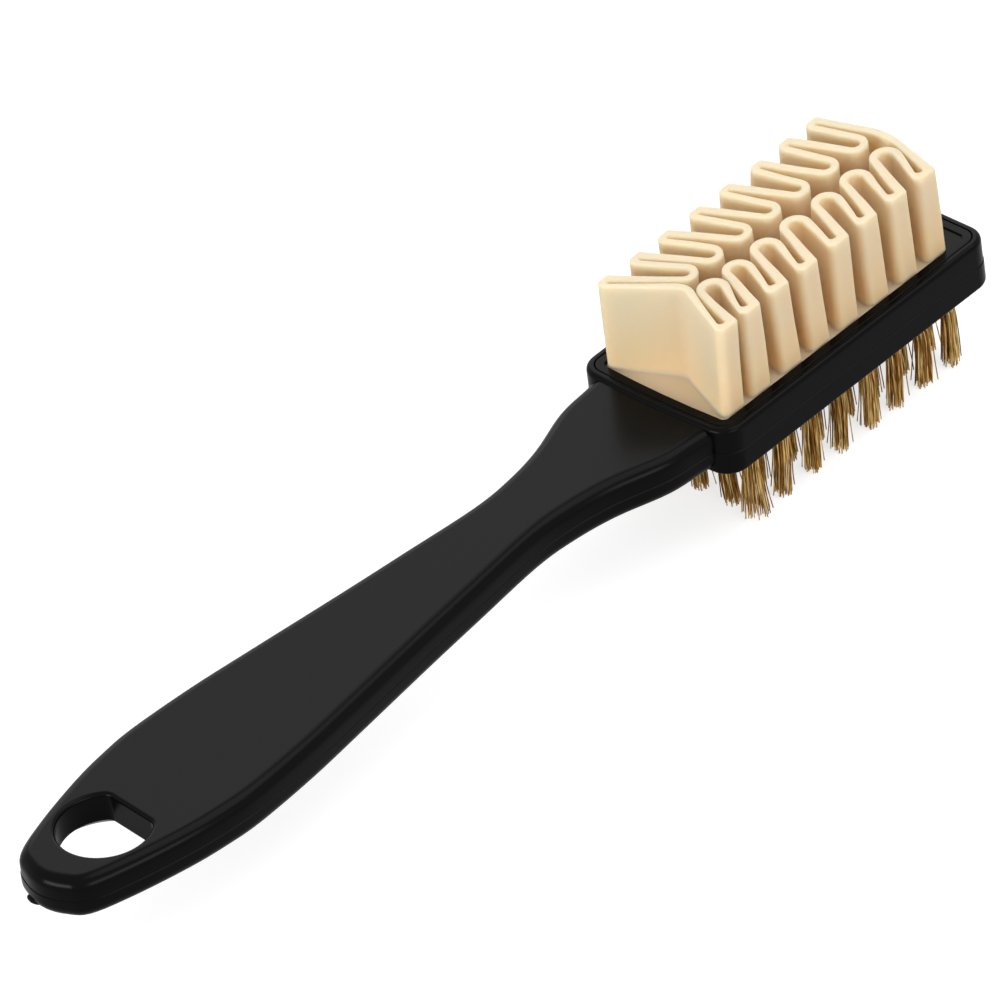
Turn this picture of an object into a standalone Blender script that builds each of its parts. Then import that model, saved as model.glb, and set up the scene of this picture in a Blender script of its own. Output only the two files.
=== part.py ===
# Shoe brush: folded crepe rubber on the top of the head, brass wire tufts below, one flat handle.
# Metres, +Z up. The wire tips stand on Z = 0, the handle runs to -X, the origin is under the middle.

import math

import bmesh
import bpy
from mathutils import Vector

# Moulded body
BRUSH_LENGTH = 0.170
HEAD_LENGTH = 0.05275
HEAD_WIDTH = 0.0265
HEAD_THICKNESS = 0.0073
HEAD_CORNER = 0.0033
HEAD_FRONT_BOW = 0.0003
HEAD_TOP_ROUNDING = 0.0007
HEAD_BOTTOM_ROUNDING = 0.0005
HANDLE_WIDTH = 0.0230
HANDLE_TOP_STEP = 0.0005
HANDLE_THICKNESS = 0.0063
HANDLE_ROUNDING = 0.0018
HANDLE_ROOT = 0.0030
PARTING_DEPTH = 0.0038
PARTING_STEP = 0.00005

# Hanging hole near the butt, a circle with its side towards the head cut straight
HOLE_RADIUS = 0.0066
HOLE_FLAT = 0.0049
HOLE_CORNER = 0.0014
HOLE_ROUNDING = 0.0006
HOLE_FROM_BUTT = 0.01235

# Frame that traps the rubber in the head
RIM_WALL = 0.0011
FRAME_GAP = 0.0003
FRAME_BORDER = 0.00115
FRAME_THICKNESS = 0.0009
FRAME_LEDGE_GAP = 0.0001
FRAME_ROUNDING = 0.00012

# Crepe rubber
SEAT_GAP = 0.0003
FLANGE_THICKNESS = 0.0013
PAD_BELOW_RIM = 0.0005
PAD_GAP = 0.0002
CREPE_ABOVE_RIM = 0.0132
CREPE_FOLDS = 8
CREPE_WALL = 0.00116
CREPE_SLIT = 0.00098
CREPE_CHANNEL = 0.0019
CREPE_SIDE_GAP = 0.0004
CREPE_FRONT_MARGIN = 0.0029
CREPE_BACK_MARGIN = 0.0053
CREPE_FRONT_APEX = 0.0030
CREPE_BACK_APEX = 0.0120
CREPE_ROUNDING = 0.0002
CREPE_LIP = 0.0004
CREPE_SLANT = math.radians(26)
CREPE_BACK_SLANT = math.radians(22)

# Brass tufts
TUFT_LENGTH = 0.0110
TUFT_COLUMNS = 8
TUFT_ROWS = 5
TUFT_END_MARGIN = 0.0074
TUFT_SIDE_MARGIN = 0.00305
TUFT_ROOT = 0.0020
TUFT_TIP = 0.0027
TUFT_HOLE_GAP = 0.0002
TUFT_HOLE_DEPTH = 0.0032
PLUG_LENGTH = 0.0026
STAPLE_THICKNESS = 0.0004
STAPLE_RISE = 0.0003
STAPLE_SHARE = 0.8
WIRE_THICKNESS = 0.0004
WIRE_DIP = 0.0003
WIRE_COUNTS = (3, 7)
WIRE_RING_SHARES = (0.30, 0.76)

# Shared working values
OVERRUN = 0.0010
WELD_DISTANCE = 0.000001
FLAT_ANGLE = math.radians(0.02)
ARC_STEP = math.radians(30)
FINE_ARC_STEP = math.radians(15)
OUTLINE_STEPS = 4
RIM_STEPS = 3
SIDES = 10

# Handle stations from the butt to the head: share of the handle's length, share of its half width
HANDLE_SHARES = (
    (0.0, 0.0), (0.0064, 0.28), (0.0235, 0.52), (0.0746, 0.71), (0.147, 0.89),
    (0.200, 0.97), (0.250, 1.0), (0.339, 0.95), (0.429, 0.85), (0.556, 0.70),
    (0.650, 0.60), (0.753, 0.495), (0.812, 0.515), (0.870, 0.62), (0.936, 0.84),
    (0.987, 0.90))
HANDLE_ROOT_SHARE = 0.83

# Levels and places that follow
RIM_Z = TUFT_LENGTH + HEAD_THICKNESS
PARTING_Z = RIM_Z - PARTING_DEPTH
HANDLE_TOP_Z = RIM_Z - HANDLE_TOP_STEP
HANDLE_BOTTOM_Z = HANDLE_TOP_Z - HANDLE_THICKNESS
FRAME_BOTTOM_Z = RIM_Z - FRAME_THICKNESS
FLANGE_TOP_Z = FRAME_BOTTOM_Z - SEAT_GAP
FLANGE_BOTTOM_Z = FLANGE_TOP_Z - FLANGE_THICKNESS
RECESS_Z = FLANGE_BOTTOM_Z - SEAT_GAP
LEDGE_Z = FRAME_BOTTOM_Z - FRAME_LEDGE_GAP
PAD_Z = RIM_Z - PAD_BELOW_RIM
CREPE_TOP_Z = RIM_Z + CREPE_ABOVE_RIM
BUTT_X = -BRUSH_LENGTH / 2
TIP_X = BRUSH_LENGTH / 2
FRONT_X = TIP_X - HEAD_LENGTH
HOLE_X = BUTT_X + HOLE_FROM_BUTT
FRAME_INSET = RIM_WALL + FRAME_GAP
OPENING_INSET = FRAME_INSET + FRAME_BORDER
CREPE_FIRST_X = FRONT_X + OPENING_INSET + CREPE_FRONT_MARGIN
CREPE_LAST_X = TIP_X - OPENING_INSET - CREPE_BACK_MARGIN
CREPE_PITCH = (CREPE_LAST_X - CREPE_FIRST_X) / (CREPE_FOLDS - 1)
FOLD_RADIUS = (CREPE_WALL + CREPE_SLIT) / 2
BEND_RADIUS = CREPE_PITCH * math.cos(CREPE_SLANT) / 2 - FOLD_RADIUS
FOLD_Y = HEAD_WIDTH / 2 - OPENING_INSET - CREPE_SIDE_GAP - CREPE_WALL / 2 - FOLD_RADIUS
BEND_Y = CREPE_CHANNEL / 2 + CREPE_WALL / 2 + BEND_RADIUS


def clear_scene():
    for item in list(bpy.data.objects):
        bpy.data.objects.remove(item, do_unlink=True)


def new_collection(name):
    collection = bpy.data.collections.new(name)
    bpy.context.scene.collection.children.link(collection)
    return collection


def new_material(name, color, roughness, metallic):
    material = bpy.data.materials.new(name)
    material.use_nodes = True
    shader = material.node_tree.nodes["Principled BSDF"]
    shader.inputs["Base Color"].default_value = (*color, 1.0)
    shader.inputs["Roughness"].default_value = roughness
    shader.inputs["Metallic"].default_value = metallic
    return material


def arc(center, radius, start, end, angle_step=ARC_STEP):
    # Points from one angle to the other, about one every step
    count = max(2, round(abs(end - start) / angle_step))
    angles = (start + (end - start) * step / count for step in range(count + 1))
    return [center + radius * Vector((math.cos(angle), math.sin(angle))) for angle in angles]


def smooth(points, steps):
    # A Catmull-Rom curve through the points, ends included
    padded = [2 * points[0] - points[1], *points, 2 * points[-1] - points[-2]]
    result = []
    for before, start, end, after in zip(padded, padded[1:], padded[2:], padded[3:]):
        for step in range(steps):
            t = step / steps
            bend = 2 * before - 5 * start + 4 * end - after
            twist = 3 * start - before - 3 * end + after
            result.append(start + ((end - before) * t + bend * t ** 2 + twist * t ** 3) / 2)
    return [*result, points[-1]]


def mirrored(half):
    # The half outline at +Y, then its mirror image back at -Y, without doubling points on the middle
    other = [Vector((point.x, -point.y)) for point in reversed(half) if abs(point.y) > WELD_DISTANCE]
    return [*half, *other]


def grown(outline, distance):
    # The closed outline moved out by the distance, or in where it is negative
    area = sum(a.cross(b) for a, b in zip(outline, [*outline[1:], outline[0]]))
    side = math.copysign(1, area)
    result = []
    for before, point, after in zip([outline[-1], *outline], outline, [*outline[1:], outline[0]]):
        arrive = (point - before).normalized()
        leave = (after - point).normalized()
        normals = [Vector((way.y, -way.x)) * side for way in (arrive, leave)]
        middle = (normals[0] + normals[1]).normalized()
        result.append(point + middle * distance / middle.dot(normals[0]))
    return result


def rounded_box(front, back, half_width, corner, bow=0.0):
    # Plan outline of the head: the front side bows out towards the handle by the bow
    center_y = half_width - corner
    quarter = math.pi / 2
    half = [Vector((front - bow, 0.0)), Vector((front - bow * 3 / 4, center_y / 2))]
    half += arc(Vector((front + corner, center_y)), corner, 2 * quarter, quarter, FINE_ARC_STEP)
    half += arc(Vector((back - corner, center_y)), corner, quarter, 0.0, FINE_ARC_STEP)
    return mirrored(half)


def weld(bm):
    bmesh.ops.remove_doubles(bm, verts=bm.verts, dist=WELD_DISTANCE)
    bmesh.ops.dissolve_degenerate(bm, edges=bm.edges, dist=WELD_DISTANCE)
    bmesh.ops.recalc_face_normals(bm, faces=bm.faces)


def evaluated_mesh(item):
    depsgraph = bpy.context.evaluated_depsgraph_get()
    return bpy.data.meshes.new_from_object(item.evaluated_get(depsgraph))


def slab(name, outlines, low, high, rounding=0.0, steps=2):
    # A flat plate with this outline, any further outlines left open, its edges rounded
    curve = bpy.data.curves.new(name, "CURVE")
    curve.dimensions = "2D"
    curve.fill_mode = "BOTH"
    curve.extrude = (high - low) / 2 - rounding
    curve.bevel_depth = rounding
    curve.bevel_resolution = steps - 1
    for index, outline in enumerate(outlines):
        points = grown(outline, rounding if index else -rounding)
        spline = curve.splines.new("POLY")
        spline.points.add(len(points) - 1)
        spline.use_cyclic_u = True
        for target, point in zip(spline.points, points):
            target.co = (point.x, point.y, 0.0, 1.0)
    item = bpy.data.objects.new(name, curve)
    item.location.z = (low + high) / 2
    cutters.objects.link(item)
    mesh = evaluated_mesh(item)
    mesh.transform(item.matrix_world)
    bpy.data.objects.remove(item, do_unlink=True)
    bm = bmesh.new()
    bm.from_mesh(mesh)
    weld(bm)
    bm.to_mesh(mesh)
    bm.free()
    return place(name, mesh)


def place(name, mesh):
    item = bpy.data.objects.new(name, mesh)
    item.display_type = "WIRE"
    item.hide_render = True
    cutters.objects.link(item)
    return item


def joined(item, other, operation="UNION"):
    # The Boolean's result takes the first object's place, and the second is used up
    modifier = item.modifiers.new(operation.title(), "BOOLEAN")
    modifier.operation = operation
    modifier.solver = "EXACT"
    modifier.object = other
    mesh = evaluated_mesh(item)
    item.modifiers.remove(modifier)
    item.data = mesh
    bpy.data.objects.remove(other, do_unlink=True)
    tidy(item)
    return item


def split_wide_faces(bm):
    # Faces of many corners are split, so that every cut and every reader takes them the same way
    bmesh.ops.triangulate(bm, faces=[face for face in bm.faces if len(face.verts) > 4])


def tidy(item):
    # Flat neighbours become one face again before the split, so that cuts leave no slivers behind
    bm = bmesh.new()
    bm.from_mesh(item.data)
    weld(bm)
    bmesh.ops.dissolve_limit(bm, angle_limit=FLAT_ANGLE, verts=bm.verts, edges=bm.edges)
    split_wide_faces(bm)
    bm.to_mesh(item.data)
    bm.free()


def cut_off_above(item, level):
    # Keeps what lies below the level and closes the cut
    bm = bmesh.new()
    bm.from_mesh(item.data)
    geometry = [*bm.verts, *bm.edges, *bm.faces]
    cut = bmesh.ops.bisect_plane(bm, geom=geometry, dist=WELD_DISTANCE, plane_co=(0, 0, level),
                                 plane_no=(0, 0, 1), clear_outer=True)
    edges = [part for part in cut["geom_cut"] if isinstance(part, bmesh.types.BMEdge)]
    bmesh.ops.holes_fill(bm, edges=edges)
    weld(bm)
    bm.to_mesh(item.data)
    bm.free()
    return item


def lofted(name, rings):
    # A solid skinned over outlines of as many points each, from the lowest level to the highest
    bm = bmesh.new()
    loops = [[bm.verts.new((point.x, point.y, level)) for point in outline] for outline, level in rings]
    for low, high in zip(loops, loops[1:]):
        for index in range(len(low)):
            bm.faces.new((low[index - 1], low[index], high[index], high[index - 1]))
    bm.faces.new(loops[0])
    bm.faces.new(loops[-1])
    weld(bm)
    mesh = bpy.data.meshes.new(name)
    bm.to_mesh(mesh)
    bm.free()
    return place(name, mesh)


def finish(item, name, material):
    # Moves a finished solid into the brush's own collection
    item.name = name
    item.data.name = name
    bm = bmesh.new()
    bm.from_mesh(item.data)
    split_wide_faces(bm)
    bm.to_mesh(item.data)
    bm.free()
    item.data.materials.clear()
    item.data.materials.append(material)
    item.data.shade_smooth()
    item.data.set_sharp_from_angle(angle=math.radians(35))
    item.display_type = "TEXTURED"
    item.hide_render = False
    cutters.objects.unlink(item)
    brush.objects.link(item)


def head_outline(inset):
    # The head's plan, moved in by the inset
    outline = rounded_box(FRONT_X, TIP_X, HEAD_WIDTH / 2, HEAD_CORNER, HEAD_FRONT_BOW)
    return grown(outline, -inset)


def handle_outline():
    # Slim neck by the head, widest near the hole, round butt; it runs on into the head to join it
    length = FRONT_X - BUTT_X
    half_width = HANDLE_WIDTH / 2
    stations = [Vector((BUTT_X + along * length, across * half_width)) for along, across in HANDLE_SHARES]
    before_butt = Vector((stations[1].x, -stations[1].y))
    half = smooth([before_butt, *stations], OUTLINE_STEPS)[OUTLINE_STEPS:]
    half.append(Vector((FRONT_X + HANDLE_ROOT, HANDLE_ROOT_SHARE * HEAD_WIDTH / 2)))
    return mirrored(half)


def hole_outline():
    # A circle cut straight on the head's side, its two corners rounded
    center = Vector((HOLE_X, 0.0))
    corner_x = HOLE_FLAT - HOLE_CORNER
    corner_y = math.sqrt((HOLE_RADIUS - HOLE_CORNER) ** 2 - corner_x ** 2)
    turn = math.atan2(corner_y, corner_x)
    half = arc(center + Vector((corner_x, corner_y)), HOLE_CORNER, 0.0, turn, FINE_ARC_STEP)
    half += arc(center, HOLE_RADIUS, turn, math.pi, FINE_ARC_STEP)[1:]
    return mirrored(half)


def hole_cutter():
    # Flares at both ends, which leaves the hole's rims rounded
    outline = hole_outline()
    middle = (HANDLE_BOTTOM_Z + HANDLE_TOP_Z) / 2
    half_depth = HANDLE_THICKNESS / 2
    sections = [(HOLE_ROUNDING, half_depth + OVERRUN)]
    for step in range(RIM_STEPS + 1):
        angle = math.pi / 2 * step / RIM_STEPS
        sections.append((HOLE_ROUNDING * (1 - math.sin(angle)),
                         half_depth - HOLE_ROUNDING * (1 - math.cos(angle))))
    lower = [(grown(outline, wider), middle - height) for wider, height in sections]
    upper = [(grown(outline, wider), middle + height) for wider, height in reversed(sections)]
    return lofted("hanging_hole", [*lower, *upper])


def make_handle():
    # The two mould halves meet at the parting line, where the upper one is a hair smaller
    outline = handle_outline()
    lower = slab("handle_lower", [outline], HANDLE_BOTTOM_Z, HANDLE_TOP_Z, HANDLE_ROUNDING)
    cut_off_above(lower, PARTING_Z)
    handle = slab("handle_upper", [grown(outline, -PARTING_STEP)], HANDLE_BOTTOM_Z + PARTING_STEP,
                  HANDLE_TOP_Z, HANDLE_ROUNDING)
    joined(handle, lower)
    return joined(handle, hole_cutter(), "DIFFERENCE")


def make_head():
    lower = slab("head_lower", [head_outline(0.0)], TUFT_LENGTH, RIM_Z, HEAD_BOTTOM_ROUNDING)
    cut_off_above(lower, PARTING_Z)
    head = slab("head_upper", [head_outline(PARTING_STEP)], TUFT_LENGTH + HEAD_BOTTOM_ROUNDING, RIM_Z,
                HEAD_TOP_ROUNDING)
    return joined(head, lower)


def tuft_places():
    # Column, row and place of each tuft over the underside of the head
    first = FRONT_X + TUFT_END_MARGIN
    column_pitch = (HEAD_LENGTH - 2 * TUFT_END_MARGIN) / (TUFT_COLUMNS - 1)
    row_pitch = (HEAD_WIDTH - 2 * TUFT_SIDE_MARGIN) / (TUFT_ROWS - 1)
    for row in range(TUFT_ROWS):
        for column in range(TUFT_COLUMNS):
            y = (row - (TUFT_ROWS - 1) / 2) * row_pitch
            yield column + 1, row + 1, Vector((first + column * column_pitch, y, TUFT_LENGTH))


def post(bm, radius, low, high):
    # A short round post in a bmesh, its ends closed
    made = bmesh.ops.create_cone(bm, cap_ends=True, segments=SIDES, radius1=radius, radius2=radius,
                                 depth=high - low)
    bmesh.ops.translate(bm, verts=made["verts"], vec=(0, 0, (low + high) / 2))
    return made["verts"]


def tuft_hole_cutter():
    # One blind hole in the underside for each tuft
    mesh = bpy.data.meshes.new("tuft_holes")
    bm = bmesh.new()
    for _, _, spot in tuft_places():
        verts = post(bm, TUFT_ROOT / 2 + TUFT_HOLE_GAP, -OVERRUN, TUFT_HOLE_DEPTH)
        bmesh.ops.translate(bm, verts=verts, vec=spot)
    bm.to_mesh(mesh)
    bm.free()
    return place("tuft_holes", mesh)


def make_body():
    # The frame sits on a shallow ledge, and the rubber's base in a deeper pocket that stops behind it
    body = joined(make_head(), make_handle())
    ledge = slab("frame_ledge", [head_outline(RIM_WALL)], LEDGE_Z, RIM_Z + OVERRUN)
    joined(body, ledge, "DIFFERENCE")
    pocket_outline = grown(base_outline(FRAME_INSET), SEAT_GAP)
    pocket = slab("crepe_pocket", [pocket_outline], RECESS_Z, RIM_Z)
    joined(body, pocket, "DIFFERENCE")
    joined(body, tuft_hole_cutter(), "DIFFERENCE")
    finish(body, "handle_body", black_plastic)


def make_frame():
    frame = slab("frame", [head_outline(FRAME_INSET), head_outline(OPENING_INSET)], FRAME_BOTTOM_Z,
                 RIM_Z, FRAME_ROUNDING, 1)
    finish(frame, "crepe_frame", black_plastic)


def apex(wall_point, slant, radius):
    # The rounded point of a chevron, from the middle plane to where the straight wall takes over
    tip_x = wall_point.x + wall_point.y * math.tan(slant)
    center = Vector((tip_x - radius / math.cos(slant), 0.0))
    return arc(center, radius, 0.0, slant)


def crepe_half_line():
    # Middle line of the folded wall at +Y: front wall, folds and bends in turn, back wall. The walls
    # slant, so front and back meet their mirror images in a rounded chevron that points to +X.
    across = Vector((math.cos(CREPE_SLANT), math.sin(CREPE_SLANT)))
    outward = Vector((-across.y, across.x))
    front = Vector((CREPE_FIRST_X, FOLD_Y)) - across * FOLD_RADIUS
    line = apex(front, CREPE_SLANT, CREPE_FRONT_APEX)
    for fold in range(CREPE_FOLDS - 1):
        center = Vector((CREPE_FIRST_X + fold * CREPE_PITCH, FOLD_Y))
        line += arc(center, FOLD_RADIUS, CREPE_SLANT + math.pi, CREPE_SLANT)
        bend = center + across * (FOLD_RADIUS + BEND_RADIUS)
        bend -= outward * ((bend.y - BEND_Y) / outward.y)
        line += arc(bend, BEND_RADIUS, CREPE_SLANT + math.pi, CREPE_SLANT + 2 * math.pi)
    line += arc(Vector((CREPE_LAST_X, FOLD_Y)), FOLD_RADIUS, CREPE_SLANT + math.pi, CREPE_BACK_SLANT)
    return line + apex(line[-1], CREPE_BACK_SLANT, CREPE_BACK_APEX)[::-1]


def base_outline(inset):
    # The rubber's base follows the head's front and sides and ends in a lip along the back wall
    outer = head_outline(inset)
    middle_x = (FRONT_X + TIP_X) / 2
    half = [point for point in outer if point.y > -WELD_DISTANCE and point.x < middle_x]
    half_width = max(point.y for point in half)
    back_normal = Vector((math.cos(CREPE_BACK_SLANT), math.sin(CREPE_BACK_SLANT)))
    behind = CREPE_WALL / 2 + CREPE_LIP
    lip = Vector((CREPE_LAST_X, FOLD_Y)) + back_normal * (FOLD_RADIUS + behind)
    half.append(Vector((lip.x - (half_width - lip.y) * math.tan(CREPE_BACK_SLANT), half_width)))
    half += apex(lip, CREPE_BACK_SLANT, CREPE_BACK_APEX + behind)[::-1]
    return mirrored(half)


def make_crepe():
    # One closed folded wall, fused to its base; a flange round the base is trapped under the frame
    line = mirrored(crepe_half_line())
    edges = [grown(line, CREPE_WALL / 2), grown(line, -CREPE_WALL / 2)]
    wall_root = FLANGE_TOP_Z - FLANGE_THICKNESS / 4
    pad_root = FLANGE_TOP_Z - FLANGE_THICKNESS / 2
    crepe = slab("crepe_wall", edges, wall_root, CREPE_TOP_Z, CREPE_ROUNDING, 1)
    pad = slab("crepe_pad", [base_outline(OPENING_INSET + PAD_GAP)], pad_root, PAD_Z)
    flange = slab("crepe_flange", [base_outline(FRAME_INSET)], FLANGE_BOTTOM_Z, FLANGE_TOP_Z)
    joined(crepe, joined(pad, flange))
    finish(crepe, "crepe_rubber", crepe_rubber)


def wires(bm):
    # Rings of straight three-sided wires that fan out a little and end flat on the ground
    splay = TUFT_TIP / TUFT_ROOT
    for count, ring_share in zip(WIRE_COUNTS, WIRE_RING_SHARES):
        for index in range(count):
            angle = 2 * math.pi * index / count
            spot = Vector((math.cos(angle), math.sin(angle), 0.0)) * ring_share * TUFT_ROOT / 2
            made = bmesh.ops.create_cone(bm, cap_ends=True, segments=3, radius1=WIRE_THICKNESS / 2,
                                         radius2=WIRE_THICKNESS / 2, depth=TUFT_LENGTH + WIRE_DIP)
            for vert in made["verts"]:
                is_tip = vert.co.z < 0
                vert.co.z = -TUFT_LENGTH if is_tip else WIRE_DIP
                vert.co += spot * splay if is_tip else spot


def tuft_mesh():
    # A bundle's root with its staple across the end, and the wires fused to its underside
    steps = (("tuft_root", lambda bm: post(bm, TUFT_ROOT / 2, 0.0, PLUG_LENGTH)),
             ("tuft_staple", staple), ("tuft_wires", wires))
    solids = []
    for name, build in steps:
        bm = bmesh.new()
        build(bm)
        mesh = bpy.data.meshes.new(name)
        bm.to_mesh(mesh)
        bm.free()
        solids.append(place(name, mesh))
    joined(solids[0], solids[1])
    return joined(solids[0], solids[2])


def staple(bm):
    # The flat wire that holds the bundle in its hole, seen end on above the bundle
    made = bmesh.ops.create_cube(bm, size=1)
    size = Vector((TUFT_ROOT * STAPLE_SHARE, STAPLE_THICKNESS, 2 * STAPLE_RISE))
    bmesh.ops.scale(bm, verts=made["verts"], vec=size)
    bmesh.ops.translate(bm, verts=made["verts"], vec=(0, 0, PLUG_LENGTH))


def make_tufts():
    first = tuft_mesh()
    for column, row, spot in tuft_places():
        tuft = bpy.data.objects.new("tuft", first.data)
        cutters.objects.link(tuft)
        tuft.location = spot
        finish(tuft, f"brass_tuft_{row}_{column}", brass_wire)
    bpy.data.objects.remove(first, do_unlink=True)


clear_scene()
brush = new_collection("rubber_shoe_brush")
cutters = new_collection("rubber_shoe_brush_cutters")
black_plastic = new_material("black_plastic", (0.022, 0.022, 0.024), 0.38, 0.0)
crepe_rubber = new_material("crepe_rubber", (0.86, 0.68, 0.42), 0.62, 0.0)
brass_wire = new_material("brass_wire", (0.45, 0.29, 0.10), 0.35, 1.0)
make_body()
make_frame()
make_crepe()
make_tufts()
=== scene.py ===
import math
import random

import bmesh
import bpy
from mathutils import Matrix, Vector, noise


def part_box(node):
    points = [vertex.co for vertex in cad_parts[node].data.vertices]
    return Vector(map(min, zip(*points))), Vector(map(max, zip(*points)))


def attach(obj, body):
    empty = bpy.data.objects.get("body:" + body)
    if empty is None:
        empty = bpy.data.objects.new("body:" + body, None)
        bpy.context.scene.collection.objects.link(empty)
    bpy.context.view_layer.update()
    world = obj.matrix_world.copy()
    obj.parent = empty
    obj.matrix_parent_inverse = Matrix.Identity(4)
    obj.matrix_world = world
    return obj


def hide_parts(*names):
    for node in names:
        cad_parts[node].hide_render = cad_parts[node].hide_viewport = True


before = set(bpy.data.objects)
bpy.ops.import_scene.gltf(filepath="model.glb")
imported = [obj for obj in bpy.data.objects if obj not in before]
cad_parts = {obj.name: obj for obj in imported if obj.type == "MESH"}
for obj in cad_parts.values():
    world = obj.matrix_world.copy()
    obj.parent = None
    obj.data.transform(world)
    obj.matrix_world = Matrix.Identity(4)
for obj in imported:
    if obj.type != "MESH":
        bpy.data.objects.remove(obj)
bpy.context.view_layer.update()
print("frame loaded,", len(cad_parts), "nodes")

mm = 0.001
cutPast = 1.0  # how far a cutter reaches past what it cuts, in millimetres

# Sockets of a Mix node that blends two colours
mixShare, mixFirst, mixSecond, mixResult = 0, 6, 7, 2


# Turns a colour written as sRGB hex to linear values
def linear(hexColour):
    shares = [int(hexColour[place:place + 2], 16) / 255 for place in (1, 3, 5)]
    light = [share / 12.92 if share <= 0.04045 else ((share + 0.055) / 1.055) ** 2.4 for share in shares]
    return (*light, 1.0)


# Adds one node with its settings, socket values and links
def addNode(tree, kind, settings=None, values=None, links=None):
    node = tree.nodes.new(kind)
    for name, value in (settings or {}).items():
        setattr(node, name, value)
    for socket, value in (values or {}).items():
        node.inputs[socket].default_value = value
    for socket, source in (links or {}).items():
        tree.links.new(source, node.inputs[socket])
    return node


def newMaterial(name):
    material = bpy.data.materials.new(name)
    material.use_nodes = True
    tree = material.node_tree
    tree.nodes.clear()
    return material, tree


def shaderOf(tree, values, links=None):
    shader = addNode(tree, "ShaderNodeBsdfPrincipled", values=values, links=links)
    output = addNode(tree, "ShaderNodeOutputMaterial")
    tree.links.new(shader.outputs["BSDF"], output.inputs["Surface"])


# Share of its own light that a surface shows: all to the camera and through glass, part of it to reflections
def seenShare(tree, mirroredShare):
    rays = addNode(tree, "ShaderNodeLightPath")
    mirrored = addNode(tree, "ShaderNodeMath", {"operation": "MULTIPLY"}, {1: mirroredShare},
                       {0: rays.outputs["Is Glossy Ray"]})
    seen = addNode(tree, "ShaderNodeMath", {"operation": "MAXIMUM"}, None,
                   {0: rays.outputs["Is Camera Ray"], 1: mirrored.outputs["Value"]})
    seen = addNode(tree, "ShaderNodeMath", {"operation": "MAXIMUM"}, None,
                   {0: seen.outputs["Value"], 1: rays.outputs["Is Transmission Ray"]})
    return seen.outputs["Value"]


def deselectAll():
    if bpy.context.object and bpy.context.object.mode != "OBJECT":
        bpy.ops.object.mode_set(mode="OBJECT")
    bpy.ops.object.select_all(action="DESELECT")


def makeActive(piece):
    deselectAll()
    piece.select_set(True)
    bpy.context.view_layer.objects.active = piece


# Points of an arc, angles in degrees
def arcPoints(x, y, radius, start, end, steps):
    angles = [math.radians(start + (end - start) * step / steps) for step in range(steps + 1)]
    return [Vector((x + radius * math.cos(angle), y + radius * math.sin(angle))) for angle in angles]


# Sine and cosine over a quarter turn, for a rounded edge
def quarterTurn(steps):
    angles = [math.pi / 2 * step / steps for step in range(steps + 1)]
    return [(math.sin(angle), math.cos(angle)) for angle in angles]


# A smooth curve through the points, ends included
def smoothCurve(points, steps):
    padded = [2 * points[0] - points[1], *points, 2 * points[-1] - points[-2]]
    line = []
    for before, start, end, after in zip(padded, padded[1:], padded[2:], padded[3:]):
        for step in range(steps):
            t = step / steps
            bend = 2 * before - 5 * start + 4 * end - after
            twist = 3 * start - before - 3 * end + after
            line.append(start + ((end - before) * t + bend * t ** 2 + twist * t ** 3) / 2)
    return [*line, points[-1]]


# A half outline at +Y and its mirror image at -Y, as one closed line
def bothHalves(half):
    return [*half, *[Vector((point.x, -point.y)) for point in reversed(half) if abs(point.y) > 1e-6]]


# The closed outline moved in by the distance, or out where it is negative
def movedIn(outline, distance):
    area = sum(a.cross(b) for a, b in zip(outline, [*outline[1:], outline[0]]))
    side = math.copysign(1, area)
    line = []
    for before, point, after in zip([outline[-1], *outline], outline, [*outline[1:], outline[0]]):
        arrive, leave = (point - before).normalized(), (after - point).normalized()
        first = Vector((arrive.y, -arrive.x)) * side
        middle = (first + Vector((leave.y, -leave.x)) * side).normalized()
        line.append(point - middle * distance / middle.dot(first))
    return line


# A body drawn up from ring to ring, each a list of points in millimetres, and closed at both ends,
# or back to its first ring where it is a tube
def drawnUp(name, rings, isTube=False):
    deselectAll()
    count = len(rings[0])
    bpy.ops.mesh.primitive_circle_add(vertices=count, radius=mm)
    piece = bpy.context.object
    piece.name = name
    bpy.ops.object.mode_set(mode="EDIT")
    for index, ring in enumerate(rings):
        if index:
            bpy.ops.mesh.extrude_edges_move()
        mesh = bmesh.from_edit_mesh(piece.data)
        mesh.verts.ensure_lookup_table()
        for vert, point in zip(mesh.verts[len(mesh.verts) - count:], ring):
            vert.co = point * mm
    bmesh.update_edit_mesh(piece.data)
    bpy.ops.mesh.select_all(action="SELECT")
    bpy.ops.mesh.remove_doubles(threshold=0.000001)
    bpy.ops.mesh.select_all(action="DESELECT")
    bpy.ops.mesh.select_non_manifold()
    if isTube:
        bpy.ops.mesh.bridge_edge_loops()
    else:
        bpy.ops.mesh.fill_holes(sides=0)
    bpy.ops.mesh.select_all(action="SELECT")
    bpy.ops.mesh.normals_make_consistent(inside=False)
    bpy.ops.object.mode_set(mode="OBJECT")
    return piece


def atHeight(outline, z):
    return [Vector((point.x, point.y, z)) for point in outline]


# Joins or cuts with another body, which is used up
def withOther(piece, other, operation):
    modifier = piece.modifiers.new(operation.title(), "BOOLEAN")
    modifier.operation = operation
    modifier.solver = "EXACT"
    modifier.object = other
    makeActive(piece)
    bpy.ops.object.modifier_apply(modifier=modifier.name)
    bpy.data.objects.remove(other, do_unlink=True)


# Gives a finished piece its shading, finish and place in the frame
def finishPiece(piece, name, material, nodeNames, angle):
    makeActive(piece)
    piece.name = name
    piece.data.name = name
    piece.data.materials.clear()
    piece.data.materials.append(material)
    bpy.ops.object.shade_smooth_by_angle(angle=math.radians(angle))
    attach(piece, "root")
    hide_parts(*nodeNames)


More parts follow.
